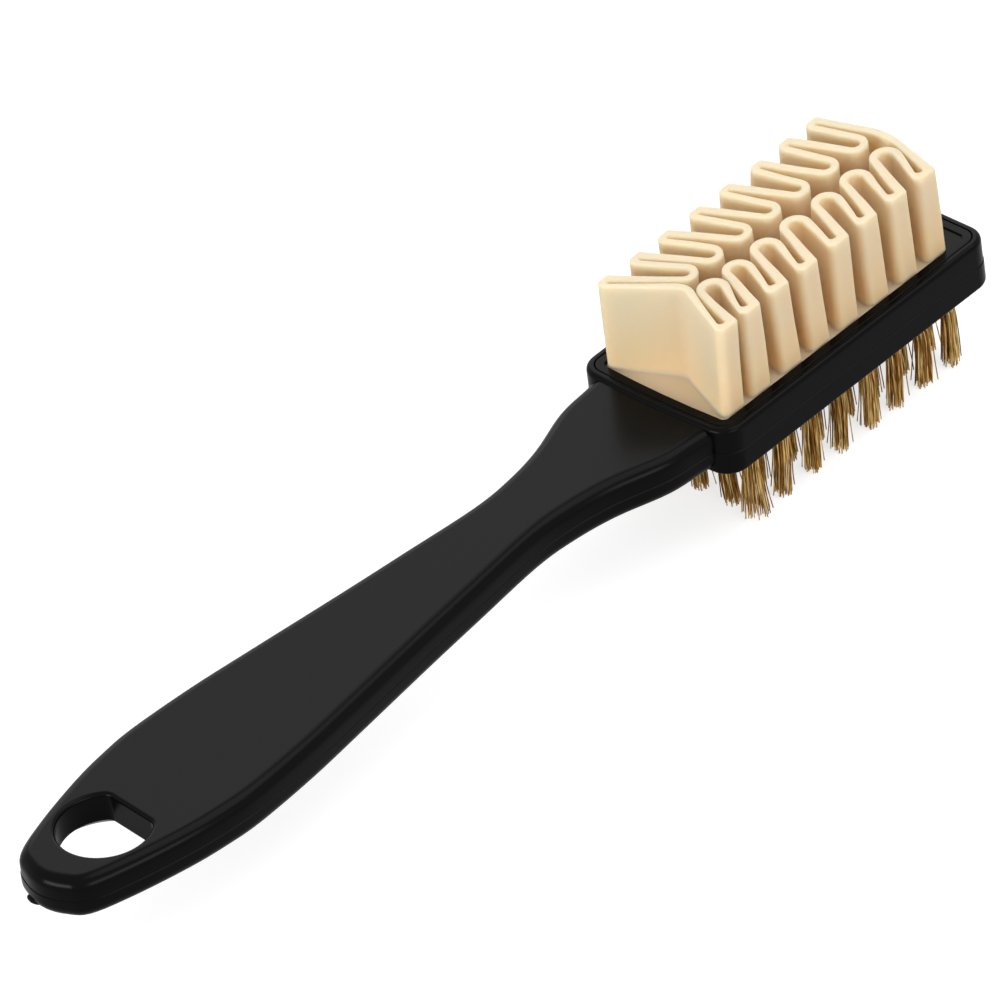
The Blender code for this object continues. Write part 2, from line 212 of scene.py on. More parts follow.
# Large flat faces keep their own normals beside the small faces of rounded edges
def evenNormals(piece):
    modifier = piece.modifiers.new("evenNormals", "WEIGHTED_NORMAL")
    modifier.keep_sharp = True
    makeActive(piece)
    bpy.ops.object.modifier_apply(modifier=modifier.name)


# Camera of the photograph: a long lens, over two metres off, a little rolled
cameraSetting = {
    "place": (-1.268945, -1.351264, 1.443153),
    "turn": (52.29024, 6.04432, -47.93012),
    "lens": 652.4697,
    "sensor": 36.0,
}
deselectAll()
bpy.ops.object.camera_add(location=cameraSetting["place"],
                          rotation=[math.radians(angle) for angle in cameraSetting["turn"]])
camera = bpy.context.object
camera.name = "photoCamera"
camera.data.lens = cameraSetting["lens"]
camera.data.sensor_width = cameraSetting["sensor"]
camera.data.sensor_fit = "HORIZONTAL"
bpy.context.scene.camera = camera
print("camera placed")


# Moulded black plastic: polypropylene off a smooth tool, near black, satin, with very faint grain
plasticSetting = {
    "colour": "#070708",
    "roughness": 0.23,
    "roughnessSpan": (-0.03, 0.04),  # how far the roughness strays from patch to patch
    "specular": 0.06,
    "grainPerMetre": 2600.0,  # grain of about 0.4 mm, coarser than the real one so that it shows
    "grainDetail": 2.0,
    "grainHeight": 0.000003,
    "grainStrength": 0.6,
    "smearPerMetre": 55.0,  # patches of about 18 mm where the polish differs
    "smearDetail": 3.0,
    "smearSpan": (0.3, 0.7),
    "smoothAngle": 35,
}


def plasticMaterial(setting):
    material, tree = newMaterial("mouldedPolypropylene")
    place = addNode(tree, "ShaderNodeTexCoord").outputs["Object"]
    grain = addNode(tree, "ShaderNodeTexNoise", None,
                    {"Scale": setting["grainPerMetre"], "Detail": setting["grainDetail"]}, {"Vector": place})
    bump = addNode(tree, "ShaderNodeBump", None,
                   {"Strength": setting["grainStrength"], "Distance": setting["grainHeight"]},
                   {"Height": grain.outputs["Fac"]})
    smear = addNode(tree, "ShaderNodeTexNoise", None,
                    {"Scale": setting["smearPerMetre"], "Detail": setting["smearDetail"]}, {"Vector": place})
    (fromLow, fromHigh), (less, more) = setting["smearSpan"], setting["roughnessSpan"]
    polish = addNode(tree, "ShaderNodeMapRange", None,
                     {"From Min": fromLow, "From Max": fromHigh, "To Min": setting["roughness"] + less,
                      "To Max": setting["roughness"] + more},
                     {"Value": smear.outputs["Fac"]})
    shaderOf(tree, {"Base Color": linear(setting["colour"]), "Specular IOR Level": setting["specular"]},
             {"Roughness": polish.outputs["Result"], "Normal": bump.outputs["Normal"]})
    return material


plastic = plasticMaterial(plasticSetting)

# Head and handle, in millimetres; the stations are shares of the handle's length and half width
head = {
    "front": 32.25,
    "tip": 85.0,
    "halfWidth": 13.25,
    "bottom": 11.0,
    "top": 18.3,
    "corner": 3.3,
    "cornerSteps": 10,
    "bow": 0.3,
    "bowShare": 0.75,  # of the bow, halfway to the corner
    "topRound": 0.7,
    "bottomRound": 0.5,
    "roundSteps": 5,
    "rimWall": 1.1,
    "ledge": 17.3,
    "recess": 15.5,
}
handle = {
    "butt": -85.0,
    "halfWidth": 11.5,
    "bottom": 11.5,
    "top": 17.8,
    "edgeRound": 1.8,
    "roundSteps": 6,
    "parting": 14.5,
    "partingStep": 0.08,
    "partingNotch": 0.1,
    "stations": ((0.0, 0.0), (0.0064, 0.28), (0.0235, 0.52), (0.0746, 0.71), (0.147, 0.89), (0.200, 0.97),
                 (0.250, 1.0), (0.339, 0.95), (0.429, 0.85), (0.556, 0.70), (0.650, 0.60), (0.753, 0.495),
                 (0.812, 0.515), (0.870, 0.62), (0.936, 0.84), (0.987, 0.90)),
    "curveSteps": 5,
    "rootReach": 3.0,  # past the front of the head, where the two are one moulding
    "rootY": 11.0,
    "holeX": -72.65,
    "holeRadius": 6.3,
    "holeFlat": 4.6,  # from the hole's middle to its straight side
    "holeTurn": -6.0,  # degrees by which that side is off square
    "holeCorner": 1.4,
    "holeSteps": 24,
    "holeRound": 0.6,
    "reliefHeight": 13.5,  # below this the hole opens out towards the underside
    "reliefReach": 2.2,
}


# Plan of the head, moved in by the inset
def headOutline(inset):
    corner, bow = head["corner"], head["bow"]
    middle = head["halfWidth"] - corner
    half = [Vector((head["front"] - bow, 0.0)), Vector((head["front"] - bow * head["bowShare"], middle / 2))]
    half += arcPoints(head["front"] + corner, middle, corner, 180, 90, head["cornerSteps"])
    half += arcPoints(head["tip"] - corner, middle, corner, 90, 0, head["cornerSteps"])
    return movedIn(bothHalves(half), inset)


def handleOutline():
    length = head["front"] - handle["butt"]
    stations = [Vector((handle["butt"] + along * length, across * handle["halfWidth"]))
                for along, across in handle["stations"]]
    steps = handle["curveSteps"]
    half = smoothCurve([Vector((stations[1].x, -stations[1].y)), *stations], steps)[steps:]
    half.append(Vector((head["front"] + handle["rootReach"], handle["rootY"])))
    return bothHalves(half)


# Rings up the side of a moulding with rounded edges and a fine parting line
def sideRings(outline, low, high, lowRound, highRound, steps):
    parting, step, notch = handle["parting"], handle["partingStep"], handle["partingNotch"]
    rings = [(lowRound * (1 - sine), low + lowRound * (1 - cosine)) for sine, cosine in quarterTurn(steps)]
    rings += [(0.0, parting - notch), (step + notch / 2, parting), (step, parting + notch)]
    rings += [(step + highRound * (1 - cosine), high - highRound * (1 - sine))
              for sine, cosine in quarterTurn(steps)]
    return [atHeight(movedIn(outline, inset), z) for inset, z in rings]


def holeRings():
    low, high, rounding, steps = handle["bottom"], handle["top"], handle["holeRound"], handle["roundSteps"]
    flat, corner, radius = handle["holeFlat"], handle["holeCorner"], handle["holeRadius"]
    middle = Vector((handle["holeX"], 0.0))
    turn = math.degrees(math.acos((flat - corner) / (radius - corner)))
    cornerY = (radius - corner) * math.sin(math.radians(turn))
    half = arcPoints(middle.x + flat - corner, cornerY, corner, 0, turn, steps)
    half += arcPoints(middle.x, 0.0, radius, turn, 180, handle["holeSteps"])[1:]
    turned = Matrix.Rotation(math.radians(handle["holeTurn"]), 2)
    outline = [middle + turned @ (point - middle) for point in bothHalves(half)]
    reach, start = handle["reliefReach"], handle["reliefHeight"]
    sections = [(reach + reach / (start - low) * cutPast, low - cutPast), (reach, low), (0.0, start)]
    sections += [(rounding * (1 - sine), high - rounding * (1 - cosine))
                 for sine, cosine in reversed(quarterTurn(steps))]
    sections.append((rounding, high + cutPast))
    return [atHeight(movedIn(outline, -wider), z) for wider, z in sections]


# Base of the rubber: the head's front and sides, then a curved back edge behind the folded wall
base = {
    "backX": 81.85,
    "backRound": 13.0,
    "backSlant": 22.0,
    "backSteps": 6,
    "flangeInset": 1.4,
    "padInset": 2.75,
    "flangeBottom": 15.8,
    "flangeTop": 17.1,
    "padTop": 17.8,
    "padRound": 0.3,
    "roundSteps": 3,
    "seatGap": 0.3,
}


def baseOutline(inset):
    middleX = (head["front"] + head["tip"]) / 2
    half = [point for point in headOutline(inset) if point.y > -1e-6 and point.x < middleX]
    halfWidth = max(point.y for point in half)
    slant = math.radians(base["backSlant"])
    back = arcPoints(base["backX"] - base["backRound"], 0.0, base["backRound"], base["backSlant"], 0,
                     base["backSteps"])
    half.append(Vector((back[0].x - (halfWidth - back[0].y) * math.tan(slant), halfWidth)))
    return bothHalves(half + back)


tuftRows, tuftColumns = 5, 8


# Row, column and place of each tuft, in the middle of its solid's box
def tuftSpots():
    for row in range(1, tuftRows + 1):
        for column in range(1, tuftColumns + 1):
            low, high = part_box(f"brass_tuft_{row}_{column}")
            yield row, column, (low.x + high.x) / 2 / mm, (low.y + high.y) / 2 / mm


tuftHole = {"radius": 1.2, "top": 14.2, "edges": 16}

# Stub of the torn gate, low on the butt
gateStub = {"place": (-84.25, 2.0, 12.4), "size": (0.6, 1.3, 0.55), "tear": 0.1, "tearScale": 2.5}


def buildGateStub(setting):
    deselectAll()
    bpy.ops.mesh.primitive_ico_sphere_add(subdivisions=3, radius=1.0)
    stub = bpy.context.object
    stub.scale = setting["size"]
    bpy.ops.object.transform_apply(location=False, rotation=False, scale=True)
    for vert in stub.data.vertices:
        vert.co += vert.normal * noise.noise(vert.co * setting["tearScale"]) * setting["tear"]
        vert.co = (vert.co + Vector(setting["place"])) * mm
    return stub


def buildShell():
    grip = drawnUp("grip", sideRings(handleOutline(), handle["bottom"], handle["top"], handle["edgeRound"],
                                     handle["edgeRound"], handle["roundSteps"]))
    withOther(grip, drawnUp("hangingHole", holeRings()), "DIFFERENCE")
    shell = drawnUp("shell", sideRings(headOutline(0.0), head["bottom"], head["top"], head["bottomRound"],
                                       head["topRound"], head["roundSteps"]))
    withOther(shell, grip, "UNION")
    withOther(shell, buildGateStub(gateStub), "UNION")
    ledge = [atHeight(headOutline(head["rimWall"]), z) for z in (head["ledge"], head["top"] + cutPast)]
    withOther(shell, drawnUp("ledge", ledge), "DIFFERENCE")
    seat = movedIn(baseOutline(base["flangeInset"]), -base["seatGap"])
    pocket = [atHeight(seat, z) for z in (head["recess"], head["top"])]
    withOther(shell, drawnUp("pocket", pocket), "DIFFERENCE")
    deselectAll()
    depth = tuftHole["top"] - head["bottom"]
    drills = []
    for _, _, x, y in tuftSpots():
        bpy.ops.mesh.primitive_cylinder_add(vertices=tuftHole["edges"], radius=tuftHole["radius"] * mm,
                                            depth=2 * depth * mm,
                                            location=(x * mm, y * mm, head["bottom"] * mm))
        drills.append(bpy.context.object)
    for drill in drills:
        drill.select_set(True)
    bpy.ops.object.join()
    withOther(shell, bpy.context.object, "DIFFERENCE")
    return shell


shell = buildShell()
finishPiece(shell, "moulded_shell", plastic, ["handle_body"], plasticSetting["smoothAngle"])
evenNormals(shell)
print("shell:", len(shell.data.vertices), "points")

# Frame over the rubber's flange, in millimetres: a raised border and a lower floor behind the rubber
trim = {
    "inset": 1.22,
    "border": 1.45,
    "bottom": 17.4,
    "floor": 18.08,
    "top": 18.3,
    "edgeRound": 0.22,
    "roundSteps": 3,
    "rubberGap": 0.06,
}


def buildTrim(setting):
    low, floorZ, high = setting["bottom"], setting["floor"], setting["top"]
    outer, rounding, steps = setting["inset"], setting["edgeRound"], setting["roundSteps"]
    sections = [(outer, low)]
    sections += [(outer + rounding * (1 - cosine), high - rounding * (1 - sine))
                 for sine, cosine in quarterTurn(steps)]
    plate = drawnUp("plate", [atHeight(headOutline(inset), z) for inset, z in sections])
    inner = outer + setting["border"]
    sections = [(inner, floorZ)]
    sections += [(inner - rounding * sine ** 2, floorZ + (high - floorZ) * index / steps)
                 for index, (sine, _) in enumerate(quarterTurn(steps))]
    sections.append((sections[-1][0], high + cutPast))
    floorCut = drawnUp("floor", [atHeight(headOutline(inset), z) for inset, z in sections])
    withOther(plate, floorCut, "DIFFERENCE")
    mouth = movedIn(baseOutline(base["padInset"]), -setting["rubberGap"])
    mouthCut = drawnUp("mouth", [atHeight(mouth, z) for z in (low - cutPast, high + cutPast)])
    withOther(plate, mouthCut, "DIFFERENCE")
    return plate


trimRing = buildTrim(trim)
finishPiece(trimRing, "rubber_retainer", plastic, ["crepe_frame"],
            plasticSetting["smoothAngle"])
evenNormals(trimRing)
print("plastic finished")


# Crepe rubber: a folded wall moulded in one with its base, soft, pale cream, light passes a little way in;
# painted shade makes it warmer and darker towards its foot and greyer over its base
rubberSetting = {
    "colour": "#ebd5b6",
    # Painted shade: towards its foot the rubber's colour turns to this warmer, darker one, as in its shaded
    # folds
    "footShadeColour": "#f3ca9a",
    "baseShadeColour": "#dbc9aa",  # painted shade: the base and the wall's foot greyer and darker, as where the wall shades them
    "roughness": 0.5,
    "specular": 0.35,
    "passDepth": 0.003,  # how far light travels inside, in metres
    "passColours": (1.0, 0.78, 0.5),  # red travels farthest
    "passShare": 0.9,
    "baseShadeSpan": (0.1, 0.9),  # millimetres above the base over which the painted shade of the base fades
    "mottlePerMetre": 190.0,  # soft patches of about 5 mm
    "mottleDetail": 2.0,
    "mottleShare": 0.35,
    "mottleShift": -0.17,
    "skinPerMetre": 1500.0,  # moulded skin of about 0.7 mm
    "skinDetail": 3.0,
    "skinHeight": 0.00002,
    "skinStrength": 0.35,
    "smoothAngle": 40,
}


def rubberMaterial(setting, low, high):
    material, tree = newMaterial("mouldedCrepeRubber")
    place = addNode(tree, "ShaderNodeTexCoord").outputs["Object"]
    height = addNode(tree, "ShaderNodeSeparateXYZ", links={"Vector": place}).outputs["Z"]
    # Painted shade: from the top of the rubber down to its foot the colour warms and darkens, shifted by soft
    # random patches of tone
    depth = addNode(tree, "ShaderNodeMapRange", None, {"From Min": low, "From Max": high}, {"Value": height})
    mottle = addNode(tree, "ShaderNodeTexNoise", None,
                     {"Scale": setting["mottlePerMetre"], "Detail": setting["mottleDetail"]},
                     {"Vector": place})
    shift = addNode(tree, "ShaderNodeMath", {"operation": "MULTIPLY_ADD"},
                    {1: setting["mottleShare"], 2: setting["mottleShift"]}, {0: mottle.outputs["Fac"]})
    share = addNode(tree, "ShaderNodeMath", {"operation": "ADD", "use_clamp": True}, None,
                    {0: depth.outputs["Result"], 1: shift.outputs["Value"]})
    colour = addNode(tree, "ShaderNodeMix", {"data_type": "RGBA"},
                     {mixFirst: linear(setting["footShadeColour"]), mixSecond: linear(setting["colour"])},
                     {mixShare: share.outputs["Value"]})
    # Painted shade: the base and the lowest millimetre of the wall take the darker, greyer colour, as where
    # the wall shades them
    baseShadeLow, baseShadeHigh = [(base["padTop"] + above) * mm for above in setting["baseShadeSpan"]]
    baseShade = addNode(tree, "ShaderNodeMapRange", None, {"From Min": baseShadeLow, "From Max": baseShadeHigh},
                    {"Value": height})
    colour = addNode(tree, "ShaderNodeMix", {"data_type": "RGBA"}, {mixFirst: linear(setting["baseShadeColour"])},
                     {mixShare: baseShade.outputs["Result"], mixSecond: colour.outputs[mixResult]})
    skin = addNode(tree, "ShaderNodeTexNoise", None,
                   {"Scale": setting["skinPerMetre"], "Detail": setting["skinDetail"]}, {"Vector": place})
    bump = addNode(tree, "ShaderNodeBump", None,
                   {"Strength": setting["skinStrength"], "Distance": setting["skinHeight"]},
                   {"Height": skin.outputs["Fac"]})
    shaderOf(tree, {"Roughness": setting["roughness"], "Specular IOR Level": setting["specular"],
                    "Subsurface Weight": setting["passShare"], "Subsurface Scale": setting["passDepth"],
                    "Subsurface Radius": setting["passColours"]},
             {"Base Color": colour.outputs[mixResult], "Normal": bump.outputs["Normal"]})
    return material


# Folded wall, in millimetres from the front of the head and from the brush's middle line. For each side
# come its folds, front to back, at the wall's free top and at its foot, then the bends between them.
crepe = {
    "topHeight": 31.5,
    "footHeight": 17.3,
    "footRound": 0.3,
    "wall": 1.16,
    "footThicker": 0.12,  # share by which the wall is thicker at its foot
    "nearFoldY": 8.65,
    "nearSlit": 0.5,
    "nearFolds": (5.95, 10.6, 16.0, 21.7, 28.0, 33.6, 39.5, 45.2),
    "nearFeet": (5.1, 10.35, 16.5, 22.1, 27.7, 33.8, 39.5, 45.2),
    "nearBends": (10.8, 15.8, 21.4, 27.2, 33.3, 39.2, 45.0),
    "nearBendY": 3.15,
    "nearGap": 1.08,
    "farFoldY": 9.05,
    "farSlit": 0.2,
    "farFolds": (4.1, 10.15, 15.8, 22.0, 27.95, 34.0, 39.85, 45.25),
    "farFeet": (4.3, 10.7, 16.3, 22.0, 27.6, 33.2, 38.9, 44.9),
    "farBends": (11.2, 16.1, 21.8, 27.5, 33.2, 39.1, 44.9),
    "farBendY": 2.45,
    "farGap": 0.85,
    "nearShift": 4.75,  # from each fold to the bend behind it, at the foot
    "farShift": 5.9,
    "frontApex": 8.2,
    "backApex": 49.2,
    "frontFoot": 7.0,
    "backFoot": 48.9,
    "frontRound": 2.2,
    "frontFootRound": 2.6,
    "backRound": 9.0,
    "squareCorner": 0.45,  # outer corners of each fold, the back one and the front one
    "roundCorner": 1.0,
    "edgeRound": 0.3,
    "levels": 12,
    "roundSteps": 3,
    "foldSteps": 11,
    "bendSteps": 10,
    "endSteps": 8,
    "cornerSteps": 4,
    "wallSteps": 3,
    "sway": 0.2,  # millimetres, at most, by which the free top strays along and across
    "swayAcross": 0.16,  # scale of the slow noise per millimetre, across and up
    "swayUp": 0.1,
}


# A closed belt drawn tight round pegs, each (x, y, radius, turn, steps); turn is 1 or -1
def belt(pegs, wallSteps):
    headings = []
    for start, end in zip(pegs, [*pegs[1:], pegs[0]]):
        way = Vector((end[0] - start[0], end[1] - start[1]))
        lift = (end[3] * end[2] - start[3] * start[2]) / way.length
        headings.append(math.atan2(way.y, way.x) - math.asin(lift))
    line = []
    for index, (x, y, radius, turn, steps) in enumerate(pegs):
        arrive, leave = headings[index - 1], headings[index]
        sweep = (leave - arrive) * turn % (2 * math.pi) * turn
        ring = []
        for step in range(steps + 1):
            angle = arrive + sweep * step / steps
            ring.append(Vector((x + turn * radius * math.sin(angle), y - turn * radius * math.cos(angle))))
        if line:
            line += [line[-1].lerp(ring[0], step / wallSteps) for step in range(1, wallSteps)]
        line += ring
    line += [line[-1].lerp(line[0], step / wallSteps) for step in range(1, wallSteps)]
    return line


# Pegs for one face of the wall at one height: outer or inner, share 0 at the foot and 1 at the top
def wallFace(setting, share, outer):
    wall = setting["wall"] * (1 + setting["footThicker"] * (1 - share))

    def between(foot, top):
        return foot + (top - foot) * share

    def foldPegs(x, side, slit):
        y = side * setting["nearFoldY" if side < 0 else "farFoldY"]
        if not outer:
            return [(x, y, slit, 1, setting["foldSteps"])]
        reach = slit + wall
        small, large, steps = setting["squareCorner"], setting["roundCorner"], setting["cornerSteps"]
        edge = abs(y) + reach
        back = (x + reach - small, side * (edge - small), small, 1, steps)
        front = (x - reach + large, side * (edge - large), large, 1, steps)
        return [front, back] if side < 0 else [back, front]

    frontRound = between(setting["frontFootRound"], setting["frontRound"])
    backRadius = setting["backRound"] + (0 if outer else -wall)
    front = between(setting["frontFoot"], setting["frontApex"])
    back = between(setting["backFoot"], setting["backApex"])
    pegs = [(front - frontRound, 0.0, frontRound + (0 if outer else wall), -1, setting["endSteps"])]
    for side, word in ((-1, "near"), (1, "far")):
        slit, gap, shift = setting[word + "Slit"], setting[word + "Gap"], setting[word + "Shift"]
        feet, tops, bendTops = setting[word + "Feet"], setting[word + "Folds"], setting[word + "Bends"]
        bendY = side * setting[word + "BendY"]
        folds = [between(foot, top) for foot, top in zip(feet, tops)]
        bends = [between(foot + shift, top) for foot, top in zip(feet, bendTops)]
        row = [foldPegs(folds[0], side, slit)]
        for fold, bend in zip(folds[1:], bends):
            row.append([(bend, bendY, gap if outer else gap + wall, -1, setting["bendSteps"])])
            row.append(foldPegs(fold, side, slit))
        for group in (row if side < 0 else reversed(row)):
            pegs += group
        if side < 0:
            pegs.append((back - setting["backRound"], 0.0, backRadius, 1, setting["endSteps"]))
    return belt(pegs, setting["wallSteps"])


# Rings go up the outer face, over the rounded top edge and down the inner face; at the foot the wall
# widens in a small fillet
def buildCrepe(setting):
    foot, top, edge, flare = (setting[key] for key in ("footHeight", "topHeight", "edgeRound", "footRound"))
    turn = quarterTurn(setting["roundSteps"])
    rings = [(foot, 0.0, -flare)]
    rings += [(base["padTop"] + flare * (1 - cosine), 0.0, -flare * (1 - sine)) for sine, cosine in turn]
    start = base["padTop"] + flare
    shares = [level / setting["levels"] for level in range(1, setting["levels"] + 1)]
    rings += [(start + (top - edge - start) * share, share, 0.0) for share in shares]
    rings += [(top - edge + edge * sine, 1.0, edge * (1 - cosine)) for sine, cosine in turn[1:]]
    rings = [(z, share, depth / setting["wall"]) for z, share, depth in rings]
    path = rings + [(z, share, 1 - max(across, 0.0)) for z, share, across in reversed(rings)]
    swayAcross, swayUp = setting["swayAcross"], setting["swayUp"]
    faces = {}

    def ringPoints(z, share, across):
        if share not in faces:
            faces[share] = (wallFace(setting, share, True), wallFace(setting, share, False))
        points = []
        for a, b in zip(*faces[share]):
            point = a + (b - a) * across
            # noise_vector isn't seeded, so this sway is a little different in each run
            place = Vector((point.x * swayAcross, point.y * swayAcross, z * swayUp))
            sway = noise.noise_vector(place) * setting["sway"] * share
            points.append(Vector((head["front"] + point.x + sway.x, point.y + sway.y, z)))
        return points

    wall = drawnUp("foldedWall", [ringPoints(*section) for section in path], isTube=True)
    inset, rounding = base["padInset"], base["padRound"]
    rings = [(base["flangeInset"], 0.0, base["flangeBottom"]), (base["flangeInset"], 0.0, base["flangeTop"]),
             (inset, 0.0, base["flangeTop"])]
    rings += [(inset, rounding * (1 - cosine), base["padTop"] - rounding * (1 - sine))
              for sine, cosine in quarterTurn(base["roundSteps"])]
    pad = drawnUp("pad", [atHeight(movedIn(baseOutline(inset), more), z) for inset, more, z in rings])
    withOther(wall, pad, "UNION")
    return wall


low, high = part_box("crepe_rubber")
crepeBlock = buildCrepe(crepe)
finishPiece(crepeBlock, "crepe_block", rubberMaterial(rubberSetting, low.z, high.z),
            ["crepe_rubber"], rubberSetting["smoothAngle"])
print("rubber:", len(crepeBlock.data.vertices), "points")


# Drawn brass wire, crimped and a little tarnished: warm brown-gold with bright flanks and dark lines
brassSetting = {
    "bright": "#f8d48a",
    "tarnish": "#8c622a",
    "roughness": 0.32,
    "strandPerMetre": 5200.0,  # colour changes about every 0.2 mm, from wire to wire
    "alongShare": 0.05,  # and far more slowly along a wire
    "strandDetail": 1.0,
    "strandSpan": (0.35, 0.65),
    "smoothAngle": 70,
}


def brassMaterial(setting):
    material, tree = newMaterial("drawnBrassWire")
    place = addNode(tree, "ShaderNodeTexCoord").outputs["Object"]
    stretched = addNode(tree, "ShaderNodeMapping", None, {"Scale": (1.0, 1.0, setting["alongShare"])},
                        {"Vector": place})
    strand = addNode(tree, "ShaderNodeTexNoise", None,
                     {"Scale": setting["strandPerMetre"], "Detail": setting["strandDetail"]},
                     {"Vector": stretched.outputs["Vector"]})
    low, high = setting["strandSpan"]
    share = addNode(tree, "ShaderNodeMapRange", None, {"From Min": low, "From Max": high},
                    {"Value": strand.outputs["Fac"]})
    colour = addNode(tree, "ShaderNodeMix", {"data_type": "RGBA"},
                     {mixFirst: linear(setting["tarnish"]), mixSecond: linear(setting["bright"])},
                     {mixShare: share.outputs["Result"]})
    shaderOf(tree, {"Metallic": 1.0, "Roughness": setting["roughness"]},
             {"Base Color": colour.outputs[mixResult]})
    return material


# Tufts, in millimetres: some sixty crimped wires each, held by a flat staple in their hole
tuft = {
    "wires": 60,
    "wireRadius": 0.095,
    "segments": 8,
    "rootRadius": 1.1,
    "tipRadius": 1.2,
    "cornerTipRadius": 2.0,
    "middleLean": (-0.5, 0.0, 0.3, 0.5, 0.9, 0.7, 1.0, 0.8),  # along the brush, front column first
    "tipLean": (-0.5, -0.8, -0.1, -0.2, 0.4, 0.1, 0.3, 0.3),
    "acrossLean": (0.0, -0.9, -0.3, 0.4, 0.3),  # across the brush, near row first
    "leanSpan": (0.7, 1.3),  # share of the lean that a wire takes
    "middleShare": 0.4,  # of the free length, where the middle's lean is full
    "holeReach": 0.3,  # how far inside its hole a wire starts to spread
    "spread": 1.15,  # power by which it spreads towards the tip
    "turnSpan": 0.2,  # radians by which a wire strays from its even place round the tuft
    "crimp": 0.055,
    "crimpLength": 2.1,
    "crimpOnset": 4,  # the crimp is full after a quarter of the free length
    "wander": 0.13,
    "unevenTips": 1.0,
    "tipGap": 0.02,
    "strays": 2,
    "strayShare": 0.95,
    "strayReach": 1.0,
    "straySpan": (0.3, 1.0),
    "rootHeight": 13.5,
    "staple": (1.7, 0.35, 0.5),
    "stapleRound": 0.08,
    "stapleHeight": 13.85,
    "seed": 7,
}


# One straight wire, three-sided, from its root down to its tip, with rings of points to bend it by
def buildWire(setting):
    deselectAll()
    bpy.ops.mesh.primitive_cone_add(vertices=3, radius1=setting["wireRadius"], radius2=setting["wireRadius"],
                                    depth=1.0, location=(0, 0, 0))
    wire = bpy.context.object
    bpy.ops.object.mode_set(mode="EDIT")
    for index in range(1, setting["segments"]):
        bpy.ops.mesh.select_all(action="SELECT")
        bpy.ops.mesh.bisect(plane_co=(0, 0, index / setting["segments"] - 0.5), plane_no=(0, 0, 1))
    bpy.ops.object.mode_set(mode="OBJECT")
    return wire


def buildStaple(setting):
    deselectAll()
    bpy.ops.mesh.primitive_cube_add(size=1.0)
    staple = bpy.context.object
    staple.scale = setting["staple"]
    bpy.ops.object.transform_apply(location=False, rotation=False, scale=True)
    bpy.ops.object.mode_set(mode="EDIT")
    bpy.ops.mesh.select_all(action="SELECT")
    bpy.ops.mesh.bevel(offset=setting["stapleRound"], segments=2)
    bpy.ops.object.mode_set(mode="OBJECT")
    return staple


# Points and faces of a model piece, which is used up
def meshParts(piece):
    points = [vert.co.copy() for vert in piece.data.vertices]
    faces = [tuple(polygon.vertices) for polygon in piece.data.polygons]
    bpy.data.objects.remove(piece, do_unlink=True)
    return points, faces


wirePoints, wireFaces = meshParts(buildWire(tuft))
staplePoints, stapleFaces = meshParts(buildStaple(tuft))
brass = brassMaterial(brassSetting)


def buildTuft(setting, row, column, x, y, chance):
    points, faces = [], []
    golden = math.pi * (3 - math.sqrt(5))
    middleLean, tipLean = setting["middleLean"][column - 1], setting["tipLean"][column - 1]
    isCorner = (row, column) == (1, 1)
    tipRadius = setting["cornerTipRadius"] if isCorner else setting["tipRadius"]
    turnSpan = setting["turnSpan"]
    for index in range(setting["wires"] + setting["strays"]):
        isStray = index >= setting["wires"]
        share = setting["strayShare"] if isStray else math.sqrt((index + 0.5) / setting["wires"])
        turn = index * golden + chance.uniform(-turnSpan, turnSpan)
        away = Vector((math.cos(turn), math.sin(turn), 0.0))
        root = away * share * (setting["rootRadius"] - setting["wireRadius"])
        reach = share * tipRadius + chance.uniform(-1, 1) * setting["wander"]
        if isStray:
            reach += setting["strayReach"] * chance.uniform(*setting["straySpan"])
        tip = away * reach
        lean = (tipLean - middleLean) * chance.uniform(*setting["leanSpan"])
        tipHeight = setting["unevenTips"] * chance.random() ** 2 + setting["tipGap"]
        phase, crimpTurn = chance.uniform(0, 2 * math.pi), chance.uniform(0, 2 * math.pi)
        crimpWay = Vector((math.cos(crimpTurn), math.sin(crimpTurn), 0.0)) * setting["crimp"]
        spin = chance.uniform(0, 2 * math.pi)
        first = len(points)
        for point in wirePoints:
            along = 0.5 - point.z  # 0 at the root, 1 at the tip
            z = setting["rootHeight"] + (tipHeight - setting["rootHeight"]) * along
            free = max(0.0, (head["bottom"] + setting["holeReach"] - z) / head["bottom"])
            middle = root.lerp(tip, free ** setting["spread"])
            middle.x += middleLean * math.sin(math.pi / 2 * min(1.0, free / setting["middleShare"]))
            middle.x += lean * free ** 2
            middle.y += setting["acrossLean"][row - 1] * free
            wave = math.sin(z / setting["crimpLength"] * 2 * math.pi + phase)
            middle += crimpWay * wave * min(1.0, free * setting["crimpOnset"])
            across = Vector((point.x * math.cos(spin) - point.y * math.sin(spin),
                             point.x * math.sin(spin) + point.y * math.cos(spin), 0.0))
            place = Vector((x, y, z)) + middle + across
            points.append(Vector((place.x, place.y, max(place.z, 0.0))) * mm)
        faces += [tuple(first + corner for corner in face) for face in wireFaces]
    first = len(points)
    points += [(point + Vector((x, y, setting["stapleHeight"]))) * mm for point in staplePoints]
    faces += [tuple(first + corner for corner in face) for face in stapleFaces]
    mesh = bpy.data.meshes.new(f"wire_tuft_{row}_{column}")
    mesh.from_pydata(points, [], faces)
    mesh.update()
    piece = bpy.data.objects.new(mesh.name, mesh)
    bpy.context.collection.objects.link(piece)
    return piece


chance = random.Random(tuft["seed"])
for row, column, x, y in list(tuftSpots()):
    piece = buildTuft(tuft, row, column, x, y, chance)
    finishPiece(piece, f"wire_tuft_{row}_{column}", brass, [f"brass_tuft_{row}_{column}"],
                brassSetting["smoothAngle"])
print("tufts finished")

# Floor: mat grey paper that keeps the brush's shadow, with enough light of its own to look white
floorSetting = {"size": 6.0, "colour": "#b4b4b4", "ownLight": 0.74, "mirroredShare": 0.4}


